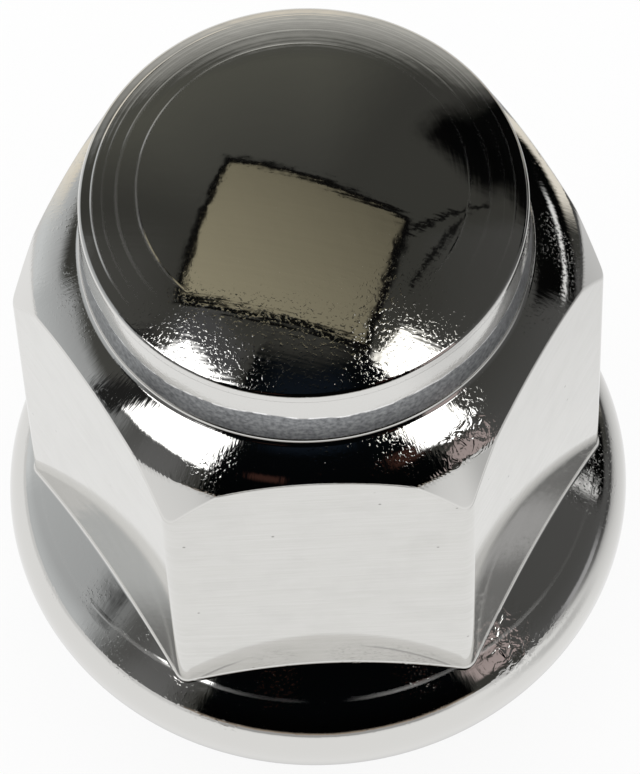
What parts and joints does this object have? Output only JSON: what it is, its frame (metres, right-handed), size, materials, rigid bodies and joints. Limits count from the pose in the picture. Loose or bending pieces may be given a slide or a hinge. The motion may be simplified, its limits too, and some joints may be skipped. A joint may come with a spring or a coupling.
{
  "type": "lug nut",
  "caption": "Closed-end chrome lug nut: a hexagon with arched flats under a stepped, low-domed crown, above a rolled flange and a conical seat round a blind threaded hole.",
  "frame": {"origin": "on the thread axis, in the plane of the flat ring at the end of the seat", "axes": "+Z along the thread axis from the seat to the crown, with a flat of the hexagon facing -Y and corners on +X and -X"},
  "size_m": [0.024, 0.024, 0.0325],
  "materials": {
    "chrome_plate": "bright nickel and chrome plate over polished forged steel"
  },
  "bodies": {
    "root": {"lug_nut": "chrome_plate"}
  },
  "joints": []
}
